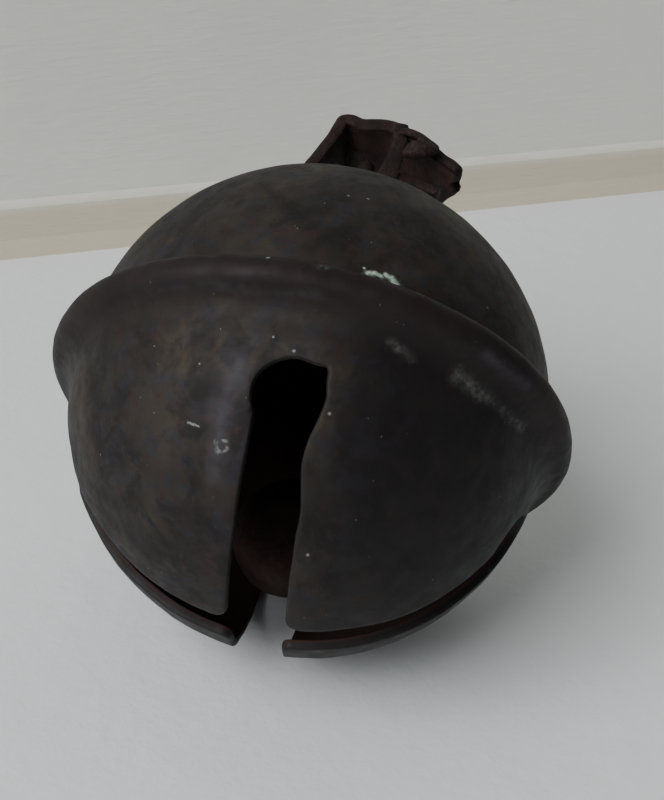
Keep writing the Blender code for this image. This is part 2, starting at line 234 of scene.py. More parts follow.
def triangulate(outer, outer_is_cut, holes, spacing, nose):
    """Mesh a flat region. Rows of points hug each cut edge, so that it can be rounded over.

    Returns the points, the triangles and each point's distance from the nearest cut edge.
    """
    cuts = list(holes) + ([outer] if outer_is_cut else [])
    fixed = [outer] + list(holes)
    rows, row_depths = [], []
    for loop in cuts:
        for depth in EDGE_ROWS:
            for side in (-1, 1):
                rows.append(loop + side * depth * nose * outward(loop))
                row_depths.append(np.full(len(loop), depth * nose))
    low, high = outer.min(0), outer.max(0)
    nx, ny = ((high - low) / (spacing, spacing * 0.866)).astype(int) + 1
    ix, iy = np.meshgrid(np.arange(nx), np.arange(ny))
    grid = np.column_stack(((low[0] + (ix + 0.5 * (iy % 2)) * spacing).ravel(),
                            (low[1] + iy * spacing * 0.866).ravel()))

    def keep(points, margins, rim_margin):
        good = is_inside(points, outer)
        for hole in holes:
            good &= ~is_inside(points, hole)
        good &= distance_to(points, cuts) > margins
        if not outer_is_cut:
            good &= distance_to(points, [outer]) > rim_margin
        return points[good]

    rows = keep(np.vstack(rows), 0.96 * np.concatenate(row_depths), 0.3 * spacing)
    grid = keep(grid, nose + 0.45 * spacing, 0.45 * spacing)
    points = np.vstack(fixed + [rows, grid])
    edges, start = [], 0
    for loop in fixed:
        edges += [(start + i, start + (i + 1) % len(loop)) for i in range(len(loop))]
        start += len(loop)
    flat, _, faces, *_ = delaunay_2d_cdt([Vector(p) for p in points], edges, [], 0, 1e-5)
    flat = np.array([tuple(p) for p in flat])
    faces = np.array([face for face in faces if len(face) == 3])
    centres = flat[faces].mean(1)
    good = is_inside(centres, outer)
    for hole in holes:
        good &= ~is_inside(centres, hole)
    return flat, faces[good], distance_to(flat, cuts)


def both_sides(flat, faces, depth, half_wall, nose, place):
    """Thicken a flat mesh along a curved surface, rounding it over at its cut edges."""
    share = np.clip(depth / nose, 0, 1)
    height = half_wall * np.sqrt(np.clip(1 - (1 - share) ** 2, 0, 1))
    middle, normal = place(flat)
    top = middle + normal * height[:, None]
    bottom = middle - normal * height[:, None]
    return np.vstack((top, bottom)), [tuple(f) for f in faces] + [tuple(f[::-1] + len(flat)) for f in faces]


def band_faces(rings, count):
    """Quads between rings of points, each of which closes on itself."""
    faces = []
    for start in range(0, (rings - 1) * count, count):
        for k in range(count):
            after = (k + 1) % count
            faces.append((start + k, start + after, start + count + after, start + count + k))
    return faces


def turned_rows(profile, steps):
    """Points and faces of a profile, radius and height, turned about Z."""
    turn = np.linspace(0, 2 * math.pi, steps, endpoint=False)
    points = [(r * math.cos(a), r * math.sin(a), z) for r, z in profile for a in turn]
    return np.array(points), band_faces(len(profile), steps)


def join(parts):
    """Put several point-and-face pairs into one."""
    points, faces, start = [], [], 0
    for part_points, part_faces in parts:
        points.append(part_points)
        faces += [tuple(int(i) + start for i in face) for face in part_faces]
        start += len(part_points)
    return np.vstack(points), faces


def make_piece(name, points, faces, body, material, replaced, relief=None, edge=None):
    """One closed, smooth mesh from points in bell space, riding on a body in place of a CAD node.

    Its points keep their bell-space places as the attribute "bell", which the materials read,
    and "edge", which is 1 on a worn edge, 0 away from it and -1 on the flesh side of leather.
    """
    mesh = bpy.data.meshes.new(name)
    mesh.from_pydata([tuple(point) for point in points], [], faces)
    bm = bmesh.new()
    bm.from_mesh(mesh)
    wear = bm.verts.layers.float.new("edge")
    if edge is not None:
        for vertex, value in zip(bm.verts, edge):
            vertex[wear] = value
    bmesh.ops.remove_doubles(bm, verts=bm.verts, dist=0.004)
    bmesh.ops.recalc_face_normals(bm, faces=bm.faces)
    if relief:
        places = np.array([vertex.co[:] for vertex in bm.verts])
        for vertex, move in zip(bm.verts, relief(places)):
            vertex.co += Vector(move)
    for face in bm.faces:
        face.smooth = True
    bm.to_mesh(mesh)
    bm.free()
    places = np.empty(3 * len(mesh.vertices), np.float32)
    mesh.vertices.foreach_get("co", places)
    mesh.attributes.new("bell", "FLOAT_VECTOR", "POINT").data.foreach_set("vector", places)
    mesh.transform(BELL @ Matrix.Scale(MM, 4))
    piece = bpy.data.objects.new(name, mesh)
    bpy.context.scene.collection.objects.link(piece)
    mesh.materials.append(material)
    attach(piece, body)
    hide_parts(replaced)
    return piece


# ---------------------------------------------------------------- curved sheets

def on_sphere(centre_z, radius, pole):
    """Maps flat points onto a sphere about a pole, +1 up or -1 down, keeping distances from it."""
    def place(flat):
        reach = np.hypot(flat[:, 0], flat[:, 1])
        angle = reach / radius
        share = np.where(reach > 1e-9, np.sin(angle) / np.maximum(reach, 1e-9), 1 / radius)
        normal = np.column_stack((flat[:, 0] * share, flat[:, 1] * share, pole * np.cos(angle)))
        return normal * radius + (0, 0, centre_z), normal
    return place


def flatten(plan, radius):
    """The inverse: flat points from places on the sphere given across its axis."""
    reach = np.hypot(plan[:, 0], plan[:, 1])
    return plan * (radius * np.arcsin(np.clip(reach / radius, 0, 1)) / np.maximum(reach, 1e-9))[:, None]


def circle(centre, radius, spacing=SAMPLE):
    count = max(24, int(2 * math.pi * radius / spacing))
    turn = np.linspace(0, 2 * math.pi, count, endpoint=False)
    return np.column_stack((centre[0] + radius * np.cos(turn), centre[1] + radius * np.sin(turn)))


def ring(radius):
    """The edge where a flat mesh meets turned rows, point for point."""
    turn = np.linspace(0, 2 * math.pi, TURN_STEPS, endpoint=False)
    return np.column_stack((radius * np.cos(turn), radius * np.sin(turn)))


def edge_wear(depth, reach):
    return np.clip(1 - depth / reach, 0, 1)


def shell_relief(size, height, centre_z=0.0):
    """Slight unevenness of hand-finished sheet metal, along the sphere's own normals."""
    def relief(places):
        out = unit(places - (0, 0, centre_z))
        swell = height * wander(places, size, 3.1) + 0.35 * height * wander(places, size / 3.2, 8.7)
        return out * swell[:, None]
    return relief


# ---------------------------------------------------------------- the dome and the cup

CUT_NOSE = 0.34                   # how far in a cut edge is rounded over
DOME_CAP = math.radians(38)       # the dome's crown is a flat mesh out to here, then turned rows


def row_count(length, spacing):
    return max(2, int(round(length / spacing)))


def wire_holes(radius):
    """The holes that the eye's two ends go through, laid flat from a sphere."""
    return [flatten(circle((0, y), WIRE_RADIUS + SEAM_GAP), radius) for y in (-EYE_HALF_SPAN, EYE_HALF_SPAN)]


def make_dome(material):
    middle = DOME_RADIUS - WALL / 2
    inner = DOME_RADIUS - WALL
    flat, faces, depth = triangulate(ring(middle * DOME_CAP), False, wire_holes(middle), 0.8, CUT_NOSE)
    crown = both_sides(flat, faces, depth, WALL / 2, CUT_NOSE, on_sphere(0, middle, 1))
    start = 90 - math.degrees(DOME_CAP)
    flange_radius = BEAD_CENTRE[0] + BEAD_TUBE - BEAD_WALL - SEAM_GAP
    steps = row_count(math.radians(start) * DOME_RADIUS, 0.7)
    flange = [(DOME_RADIUS, FLANGE_TOP), (flange_radius, FLANGE_TOP), (flange_radius, FLANGE_BOTTOM),
              (inner, FLANGE_BOTTOM)]
    outside = arc((0, 0), DOME_RADIUS, start, 0, steps)
    inside = arc((0, 0), inner, 0, start, steps)
    skirt = turned_rows(np.vstack((outside, flange, inside)), TURN_STEPS)
    points, faces = join([crown, skirt])
    wear = np.concatenate((np.tile(edge_wear(depth, 0.9), 2), np.zeros(len(skirt[0]))))
    return make_piece("dome_shell", points, faces, "bell", material, "upper_dome",
                      shell_relief(11.0, 0.16), wear)


# The front slot's right edge as it was hacked out, across the slot and above the keyhole's centre
HACKED_EDGE = [(4.45, 4.7), (4.6, 2.5), (4.95, 0.6), (4.6, -1.8), (4.1, -3.9), (3.65, -5.9), (3.45, -9.0),
               (3.9, -12.5), (4.35, -16.0)]


def keyhole_rim(name):
    """Rim of a keyhole, across its slot and above its centre, from one slot edge to the other."""
    low = math.degrees(math.acos(SLOT_HALF_WIDTHS[name] / KEYHOLE_RADIUS))
    if name == "front":
        return np.vstack((arc((0, 0), KEYHOLE_RADIUS, 180 + low, 78, 40), smooth_curve(HACKED_EDGE, 60)))
    return arc((0, 0), KEYHOLE_RADIUS, 180 + low, -low, 60)


def cross_slots():
    """Edge of the crossed slots, with their keyholes and the petals' tips, seen along the axis."""
    middle = CUP_RADIUS - WALL / 2
    widths = list(SLOT_HALF_WIDTHS.values())
    loop = []
    for k, (name, tip_radius) in enumerate(zip(SLOT_HALF_WIDTHS, TIP_RADII)):
        across, height = keyhole_rim(name).T
        reach = np.cos(KEYHOLE_LATITUDE + height / middle) * np.sqrt(middle ** 2 - across ** 2)
        tip_centre = (widths[(k + 1) % 4] + tip_radius, widths[k] + tip_radius)
        arm = np.vstack((np.column_stack((reach, across)), arc(tip_centre, tip_radius, 270, 180, 12)))
        cos, sin = math.cos(k * math.pi / 2), math.sin(k * math.pi / 2)
        loop.append(arm @ np.array(((cos, sin), (-sin, cos))))
    outline = resample(np.vstack(loop), SAMPLE, True)
    wobble = 0.16 * wander(np.column_stack((outline, np.zeros(len(outline)))), 5.0, 5.0)
    return outline + outward(outline) * wobble[:, None]


def cup_rows(blend, bead_end, cup_start):
    """Profile from the cup's outer face up round the bead, under its lip and back inside."""
    lip_radius = DOME_RADIUS + SEAM_GAP
    inner = CUP_RADIUS - WALL
    lip_angle = math.degrees(math.acos((lip_radius - BEAD_CENTRE[0]) / BEAD_TUBE))
    floor = FLANGE_BOTTOM - SEAM_GAP
    roof = FLANGE_TOP + SEAM_GAP
    cavity = BEAD_CENTRE[0] + BEAD_TUBE - BEAD_WALL
    floor_angle = math.degrees(math.asin((floor + CUP_DROP) / inner))
    hollow = arc(blend, BLEND_RADIUS, cup_start + 180, bead_end + 180, 16)
    bead = arc(BEAD_CENTRE, BEAD_TUBE, bead_end, lip_angle, 34)
    underside = [(lip_radius, roof), (cavity, roof), (cavity, floor)]
    inside = arc((0, -CUP_DROP), inner, floor_angle, cup_start, 10)
    return np.vstack((hollow, bead[1:], underside, inside))


def make_cup(material):
    centre = (0.0, -CUP_DROP)
    blend = blend_centre((centre, CUP_RADIUS), (BEAD_CENTRE, BEAD_TUBE), BLEND_RADIUS)
    bead_end = angle_from(BEAD_CENTRE, blend)
    cup_start = angle_from(centre, blend)
    middle = CUP_RADIUS - WALL / 2
    slots = flatten(cross_slots(), middle)
    edge = ring(middle * math.radians(90 + cup_start))
    flat, faces, depth = triangulate(edge, False, [slots], 0.7, CUT_NOSE)
    petals = both_sides(flat, faces, depth, WALL / 2, CUT_NOSE, on_sphere(-CUP_DROP, middle, -1))
    rim = turned_rows(cup_rows(blend, bead_end, cup_start), TURN_STEPS)
    points, faces = join([petals, rim])
    wear = np.concatenate((np.tile(edge_wear(depth, 1.1), 2), np.zeros(len(rim[0]))))
    return make_piece("petal_cup", points, faces, "bell", material, "lower_cup",
                      shell_relief(9.0, 0.2, -CUP_DROP), wear)


# ---------------------------------------------------------------- washer, ball and eye

def make_washer(material):
    top = DOME_RADIUS - WALL - SEAM_GAP
    middle = top - WASHER_WALL / 2
    outer = circle((0, 0), middle * math.asin(WASHER_RADIUS / top))
    flat, faces, depth = triangulate(outer, True, wire_holes(middle), 0.6, 0.25)
    points, faces = both_sides(flat, faces, depth, WASHER_WALL / 2, 0.25, on_sphere(0, middle, 1))
    return make_piece("clench_plate", points, faces, "bell", material, "clench_washer",
                      shell_relief(5.0, 0.08), np.tile(edge_wear(depth, 0.6), 2))


def make_ball(material):
    """Cast ball, knocked and pitted by rust."""
    low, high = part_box("clapper_ball")
    centre = np.array(BELL.inverted() @ ((low + high) / 2)) / MM
    bm = bmesh.new()
    bmesh.ops.create_icosphere(bm, subdivisions=6, radius=BALL_RADIUS - 0.12)
    points = np.array([vertex.co[:] for vertex in bm.verts]) + centre
    faces = [tuple(vertex.index for vertex in face.verts) for face in bm.faces]
    bm.free()

    def relief(places):
        out = unit(places - centre)
        lumps = 0.16 * wander(places, 5.5, 2.0) + 0.07 * wander(places, 1.9, 4.0)
        pits = -0.14 * np.clip(wander(places, 1.2, 6.0) - 0.25, 0, 1)
        return out * (lumps + pits)[:, None]

    return make_piece("rusty_ball", points, faces, "clapper", material, "clapper_ball", relief)


def sweep(path, sides, up, section):
    """Rings along a path, closed at both ends. section gives width and height at a station."""
    path = np.asarray(path, float)
    along = unit(np.gradient(path, axis=0))
    turn = np.linspace(0, 2 * math.pi, sides, endpoint=False)
    points = []
    for i, (place, ahead) in enumerate(zip(path, along)):
        side = np.cross(ahead, up)
        side /= np.linalg.norm(side)
        lift = np.cross(side, ahead)
        width, height = section(i / (len(path) - 1))
        points.append(place + np.outer(width * np.cos(turn), side) + np.outer(height * np.sin(turn), lift))
    return np.vstack(points), tube_faces(len(path), sides)


def tube_faces(rings, sides):
    """Quads between rings of points, and one face over each end."""
    last = (rings - 1) * sides
    return band_faces(rings, sides) + [tuple(range(sides))[::-1], tuple(range(last, last + sides))]


def make_eye(material):
    """Squared wire arch over the crown. Both ends are peened into flat domes under the washer."""
    corners = [(-EYE_HALF_SPAN, HEAD_TOP), (-EYE_HALF_SPAN, EYE_TOP), (EYE_HALF_SPAN, EYE_TOP),
               (EYE_HALF_SPAN, HEAD_TOP)]
    arch = resample(rounded_path(corners, (EYE_BEND, EYE_BEND), 10), 0.3, False)
    arch = np.column_stack((np.zeros(len(arch)), arch))
    head = HEAD_SCALE * WIRE_RADIUS
    thick = HEAD_TOP - HEAD_BOTTOM
    dome = [(0.35, 0.0), (0.72, 0.09), (0.93, 0.3), (1.0, 0.58), (0.93, 0.86), (0.8, 1.0)]
    ends = [(r * head, HEAD_BOTTOM + share * thick) for r, share in dome]
    path, radii = [], []
    for y, rows in ((-EYE_HALF_SPAN, ends), (EYE_HALF_SPAN, ends[::-1])):
        rows = [((0.0, y, z), r) for r, z in rows]
        if y > 0:
            path += [tuple(point) for point in arch[1:-1]]
            radii += [WIRE_RADIUS] * (len(arch) - 2)
        path += [place for place, _ in rows]
        radii += [r for _, r in rows]
    count = len(path) - 1
    points, faces = sweep(path, 28, (1.0, 0.0, 0.0), lambda share: (radii[round(share * count)],) * 2)

    def relief(places):
        return 0.05 * np.column_stack([wander(places, 2.6, seed) for seed in (1.0, 2.0, 3.0)])

    return make_piece("wire_eye", points, faces, "bell", material, "hanger_eye", relief)


# ---------------------------------------------------------------- leather strap and thong

LEATHER = 2.0
STRAP_HALF_WIDTH = 8.0
STRAP_LIFT = 3.5
STRAP_UPPER_RUN = [(15.8, 6.7), (13.0, 8.45), (10.9, 9.75), (8.9, 10.85), (7.2, 11.7), (5.5, 12.45),
                   (3.8, 13.05), (2.6, 13.3), (0.4, 13.2), (-1.9, 12.72), (-3.9, 13.1)]
STRAP_FOLDS = [(-5.5, 13.3), (-6.5, 9.1), (-10.3, -0.5)]
FOLD_BENDS = (1.0, 10.0, 1.1)
STRAP_RISE = -3.0
STRAP_LOWER_END = 13.0
STRAP_CORNER = 0.45
TORN_REACH = 9.0                  # how far from a torn end its raggedness fades out
NECK_HALF_WIDTH = 3.0
NECK_HALF_LENGTH = 3.2
THONG_CENTRE = 4.4
THONG_HALF_WIDTH = 1.8


def strap_path():
    """Middle of the leather from the torn upper end, round the folds, to the lower end."""
    run_radius = DOME_RADIUS + STRAP_LIFT
    start = math.degrees(math.acos(STRAP_RISE / run_radius))
    end = math.degrees(math.acos(STRAP_LOWER_END / run_radius))
    lower = arc((0.0, 0.0), run_radius, start, end, 12)
    crown = np.array((0.0, DOME_RADIUS))
    upper = smooth_curve(STRAP_UPPER_RUN, 60) + crown
    folds = rounded_path([upper[-1], *(np.array(STRAP_FOLDS) + crown), lower[0]], FOLD_BENDS, 8)
    return resample(np.vstack((upper, folds[1:], lower[1:])), 0.38, False)


def strap_limits(x, z):
    """Where the strap's front and back edges run: cut narrow under the eye, full width elsewhere."""
    if z > DOME_RADIUS + STRAP_LIFT + LEATHER:
        return -STRAP_HALF_WIDTH, STRAP_HALF_WIDTH
    beside = np.clip((abs(x) - NECK_HALF_LENGTH) / 0.9, 0, 1)
    width = NECK_HALF_WIDTH + (STRAP_HALF_WIDTH - NECK_HALF_WIDTH) * math.sqrt(beside * (2 - beside))
    return -width, width


TORN_EDGE = [(-8.0, 0.2), (-7.0, -0.5), (-5.6, -0.5), (-4.4, 0.2), (-3.6, 0.55), (-3.1, 0.1), (-2.4, -0.6),
             (-1.0, -0.1), (0.5, 0.7), (2.5, 1.9), (5.0, 2.9), (8.0, 4.0)]


def torn_end(across):
    """How far the torn upper end stops short of the path's start, at a place across the strap."""
    fray = 0.15 * noise.noise(Vector((across * 0.9, 3.3, 0.0)))
    fray += 0.1 * noise.noise(Vector((across * 2.7, 0.0, 7.1)))
    return np.interp(across, *np.transpose(TORN_EDGE)) + fray


def section_ring(low, high, half_wall, corner, spacing):
    """Rounded rectangle: places across the strap and through its thickness."""
    count = row_count((high - low - 2 * corner) / spacing, 1)
    top = [(v, half_wall) for v in np.linspace(low + corner, high - corner, count + 1)]
    right = arc((high - corner, 0), 1.0, 90, -90, 10)[1:-1]
    right = [(high - corner + corner * (u - high + corner), half_wall * w) for u, w in right]
    bottom = [(v, -half_wall) for v in np.linspace(high - corner, low + corner, count + 1)]
    left = arc((low + corner, 0), 1.0, -90, -270, 10)[1:-1]
    left = [(low + corner + corner * (u - low - corner), half_wall * w) for u, w in left]
    return np.array(top + right + bottom + left)


def sample(rows, travelled, where):
    """A place on a path, or its normal there, by the distance travelled along it."""
    return np.array([np.interp(where, travelled, column) for column in rows.T])


def make_strap(material):
    """Thick leather folded over the eye, torn at its upper end and ragged along its edges."""
    path = strap_path()
    along = unit(np.gradient(path, axis=0))
    normal = np.column_stack((-along[:, 1], along[:, 0]))
    steps = np.linalg.norm(np.diff(path, axis=0), axis=1)
    travelled = np.concatenate(([0.0], np.cumsum(steps)))
    length = travelled[-1]
    template = section_ring(-STRAP_HALF_WIDTH, STRAP_HALF_WIDTH, 1.0, STRAP_CORNER, 0.4)
    points, wear = [], []
    for s, (x, z) in zip(travelled, path):
        low, high = strap_limits(x, z)
        to_end = min(s, length - s)
        taper = math.sqrt(1 - (1 - to_end / 0.5) ** 2) if to_end < 0.5 else 1.0
        half_thick = (LEATHER / 2 + 0.25 * np.exp(-((s - 15.0) / 6.0) ** 2)) * max(taper, 0.05)
        upper_fade = max(0.0, 1 - s / TORN_REACH)
        lower_fade = max(0.0, 1 - (length - s) / TORN_REACH)
        for across, through in template:
            v = low + (across + STRAP_HALF_WIDTH) / (2 * STRAP_HALF_WIDTH) * (high - low)
            back = torn_end(v) * upper_fade + 0.5 * torn_end(0.7 * v - 1) * lower_fade
            where = np.clip(s + (back if s < length / 2 else -back), -1.0, length + 1.0)
            here = path[0] + along[0] * where if where < 0 else sample(path, travelled, where)
            side = sample(normal, travelled, where)
            here = here + side / np.linalg.norm(side) * through * half_thick
            points.append((here[0], v, here[1]))
            to_side = min(v - low, high - v)
            arris = np.clip((abs(through) - 0.45) / 0.4, 0, 1) * np.clip(1 - to_side / 0.7, 0, 1)
            torn = np.clip(1 - (to_end + 0.3) / 0.9, 0, 1)
            on_flesh_side = through >= 0.9 and arris + torn <= 0.3
            wear.append(-1.0 if on_flesh_side else max(arris, torn, 0.01))
    points = np.array(points)
    faces = tube_faces(len(path), len(template))

    def relief(places):
        swell = 0.16 * wander(places * (1, 0.6, 1), 4.0, 9.0) + 0.07 * wander(places, 1.4, 2.2)
        near_side = np.clip((np.abs(places[:, 1]) - 6.5) / 1.5, 0, 1)
        sideways = 0.25 * wander(places, 2.2, 6.6) * near_side
        bend = 0.18 * wander(places * (0.5, 1, 0.5), 6.0, 12.0)
        return np.column_stack((bend + swell * 0.5, sideways, swell))

    return make_piece("folded_strap", points, faces, "strap", material, "strap", relief,
                      np.array(wear))


LACE_SIDES = 22


def lace(path, half_widths, thickness, facings):
    """Rings of a flat lace along a path, with each point's nearness to the lace's edges.

    facings give the direction that the flat side looks in at each station.
    """
    along = unit(np.gradient(path, axis=0))
    turn = np.linspace(0, 2 * math.pi, LACE_SIDES, endpoint=False)
    across = np.sign(np.cos(turn)) * np.abs(np.cos(turn)) ** 0.55
    through = np.sign(np.sin(turn)) * np.abs(np.sin(turn)) ** 0.75
    points = []
    for place, ahead, half_width, thick, facing in zip(path, along, half_widths, thickness, facings):
        out = facing - ahead * (facing @ ahead)
        out /= np.linalg.norm(out)
        side = np.cross(ahead, out)
        points.append(place + np.outer(half_width * across, side) + np.outer(thick / 2 * through, out))
    nearness = np.clip((np.abs(across) - 0.75) / 0.2, 0, 1)
    return np.vstack(points), np.tile(nearness, len(path))


def wrapped_turn():
    """The thong's tight turn round both runs of the strap, leaning a little in front."""
    side = STRAP_HALF_WIDTH + 0.42
    low, high = 1.35, 13.95
    corners = [(0.0, high), (-side, high), (-side, low), (side, low), (side, high), (0.0, high)]
    y, z = resample(rounded_path(corners, (1.4, 1.2, 1.2, 1.4), 6), 0.3, False).T
    in_front = np.clip(-y / side, 0, 1)
    lean = np.interp(z, (2.0, 6.4, 10.3, 13.0), (-0.35, 0.2, 0.45, -0.15))
    slimmer = np.interp(z, (2.0, 6.4, 10.3, 13.0), (0.0, 0.4, 0.65, 0.5))
    path = np.column_stack((THONG_CENTRE + lean * in_front, y, z + DOME_RADIUS))
    half_widths = THONG_HALF_WIDTH - slimmer * in_front
    facings = np.column_stack((np.zeros(len(y)), y / 8.0, (z - 7.6) / 6.5))
    points, nearness = lace(path, half_widths, np.full(len(y), 0.8), facings)
    faces = tube_faces(len(path), LACE_SIDES)[:-2]
    last = (len(path) - 1) * LACE_SIDES
    faces += [(last + k, last + (k + 1) % LACE_SIDES, (k + 1) % LACE_SIDES, k) for k in range(LACE_SIDES)]
    return points, faces, nearness


# The thong's free end: along the strap's front edge, then doubled back and tucked in as a fat curl
CURL = [(4.5, -8.6, 11.9), (5.6, -8.85, 11.9), (6.9, -8.95, 11.65), (8.2, -9.0, 11.15), (9.5, -9.1, 10.4),
        (10.5, -9.3, 9.6), (10.9, -9.7, 8.75), (10.2, -10.2, 8.05), (9.1, -10.5, 7.6), (7.9, -10.5, 7.2),
        (6.9, -10.2, 6.9), (6.2, -9.6, 6.7)]
CURL_HALF_WIDTHS = (0.8, 1.05, 1.0, 0.95, 0.85, 0.75, 0.8, 1.2, 1.6, 1.7, 1.45, 1.0)
CURL_THICKNESS = (0.6, 0.7, 0.7, 0.7, 0.8, 0.9, 1.2, 1.8, 2.3, 2.3, 1.9, 1.3)


def make_thong(material):
    """One flat thong: a tight turn round both runs, and its free end tucked in as a knot."""
    turn_points, turn_faces, turn_nearness = wrapped_turn()
    stations = np.linspace(0, 1, 90)
    knots = np.linspace(0, 1, len(CURL))
    curl_points, curl_nearness = lace(smooth_curve(CURL, 90) + (0, 0, DOME_RADIUS),
                                      np.interp(stations, knots, CURL_HALF_WIDTHS),
                                      np.interp(stations, knots, CURL_THICKNESS),
                                      np.tile((0.25, -1.0, 0.35), (90, 1)))
    points, faces = join([(turn_points, turn_faces), (curl_points, tube_faces(90, LACE_SIDES))])

    def relief(places):
        return 0.1 * np.column_stack([wander(places, 1.8, seed) for seed in (1.0, 2.0, 3.0)])

    wear = np.concatenate((turn_nearness, np.maximum(curl_nearness, 0.7)))
    wear = np.maximum(wear, 0.8 * wander(points, 2.5, 4.4))
    return make_piece("tied_thong", points, faces, "strap", material, "thong", relief, wear)


# ---------------------------------------------------------------- materials

MIX_COLOUR_INPUTS = (0, 6, 7)     # a Mix node has sockets of the same names for each data type
MIX_COLOUR_OUTPUT = 2


class Look:
    """A Principled material with short names for the nodes used here."""

    def __init__(self, name):
        self.material = bpy.data.materials.new(name)
        self.material.use_nodes = True
        self.nodes = self.material.node_tree.nodes
        self.links = self.material.node_tree.links
        self.shader = self.nodes["Principled BSDF"]
        self.bell = self.attribute("bell", "Vector")
        self.edge = self.attribute("edge", "Fac")

    def put(self, node, socket, value):
        socket = node.inputs[socket]
        if isinstance(value, bpy.types.NodeSocket):
            self.links.new(value, socket)
        elif socket.type == "RGBA":
            socket.default_value = (*value, 1.0)
        else:
            socket.default_value = value

    def attribute(self, name, output):
        node = self.nodes.new("ShaderNodeAttribute")
        node.attribute_name = name
        return node.outputs[output]

    def noise(self, size, detail=4.0, rough=0.55, distortion=0.0, vector=None):
        """Fractal noise, 0 to 1, with features about size millimetres across."""
        node = self.nodes.new("ShaderNodeTexNoise")
        self.put(node, "Vector", vector or self.bell)
        for socket, value in (("Scale", 1 / size), ("Detail", detail), ("Roughness", rough),
                              ("Distortion", distortion)):
            self.put(node, socket, value)
        return node.outputs["Fac"]

    def cells(self, size, feature="F1"):
        node = self.nodes.new("ShaderNodeTexVoronoi")
        node.feature = feature
        self.put(node, "Vector", self.bell)
        self.put(node, "Scale", 1 / size)
        return node.outputs["Distance"]

    def ramp(self, value, low, high, to_low=0.0, to_high=1.0):
        """Maps a value smoothly from one range to another, clamped."""
        node = self.nodes.new("ShaderNodeMapRange")
        node.interpolation_type = "SMOOTHSTEP"
        for socket, setting in (("Value", value), ("From Min", low), ("From Max", high), ("To Min", to_low),
                                ("To Max", to_high)):
            self.put(node, socket, setting)
        return node.outputs["Result"]

    def math(self, operation, a, b=0.0, c=0.0):
        node = self.nodes.new("ShaderNodeMath")
        node.operation = operation
        for socket, value in zip((0, 1, 2), (a, b, c)):
            self.put(node, socket, value)
        return node.outputs[0]

    def vector(self, operation, *values):
        node = self.nodes.new("ShaderNodeVectorMath")
        node.operation = operation
        for socket, value in enumerate(values):
            self.put(node, socket, value)
        return node.outputs["Value" if operation in ("DISTANCE", "DOT_PRODUCT", "LENGTH") else "Vector"]

    def times(self, a, b):
        return self.math("MULTIPLY", a, b)

    def larger(self, a, b):
        return self.math("MAXIMUM", a, b)

    def split(self, vector):
        node = self.nodes.new("ShaderNodeSeparateXYZ")
        self.put(node, "Vector", vector)
        return node.outputs["X"], node.outputs["Y"], node.outputs["Z"]

    def mix(self, factor, a, b):
        """Blends two colours."""
        node = self.nodes.new("ShaderNodeMix")
        node.data_type = "RGBA"
        for socket, value in zip(MIX_COLOUR_INPUTS, (factor, a, b)):
            self.put(node, socket, value)
        return node.outputs[MIX_COLOUR_OUTPUT]

    def stretched(self, x, y, z):
        """Bell space scaled along each axis, for streaks."""
        return self.vector("MULTIPLY", self.bell, (x, y, z))

    def spot(self, radius, place, soft):
        """1 inside a ragged spot round a place in bell space, 0 outside."""
        return self.ragged(self.vector("DISTANCE", self.bell, place), radius, soft)

    def streak(self, radius, start, end, soft):
        """1 inside a ragged streak from one place in bell space to another, 0 outside."""
        along = end - start
        from_start = self.vector("SUBTRACT", self.bell, start)
        share = self.vector("DOT_PRODUCT", from_start, along / along.length_squared)
        share = self.math("MINIMUM", self.larger(share, 0.0), 1.0)
        nearest = self.vector("MULTIPLY_ADD", share, along, start)
        return self.ragged(self.vector("DISTANCE", self.bell, nearest), radius, soft)

    def ragged(self, distance, radius, soft):
        """1 up to a distance that wanders round the radius, 0 beyond it."""
        uneven = self.math("MULTIPLY_ADD", self.noise(radius * 0.8, 3.0), radius * 0.9, distance)
        return self.ramp(uneven, radius * (1.45 - soft), radius * 1.45, 1.0, 0.0)

    def any_of(self, marks, soft):
        """1 inside any of some marks on the bell's outer face, 0 outside."""
        result = None
        for radius, *places in marks:
            places = [on_face(*place) for place in places]
            shapes = [self.streak(radius, start, end, soft) for start, end in zip(places, places[1:])]
            for shape in shapes or [self.spot(radius, places[0], soft)]:
                result = self.larger(result, shape) if result else shape
        return result

    def patchy(self, marks, soft, noise, low, high, to_low, to_high):
        """Marks broken up by noise, which sets how strong they are from place to place."""
        return self.times(self.any_of(marks, soft), self.ramp(noise, low, high, to_low, to_high))

    def bump(self, height, depth, normal=None):
        """Bump whose height of 1 stands depth millimetres high."""
        node = self.nodes.new("ShaderNodeBump")
        self.put(node, "Strength", 1.0)
        self.put(node, "Distance", depth * MM)
        self.put(node, "Height", height)
        if normal:
            self.put(node, "Normal", normal)
        return node.outputs["Normal"]

    def finish(self, colour, roughness, metallic, normal, **settings):
        self.put(self.shader, "Base Color", colour)
        self.put(self.shader, "Roughness", roughness)
        self.put(self.shader, "Metallic", metallic)
        self.put(self.shader, "Normal", normal)
        for socket, value in settings.items():
            self.put(self.shader, socket.replace("_", " "), value)
        return self.material


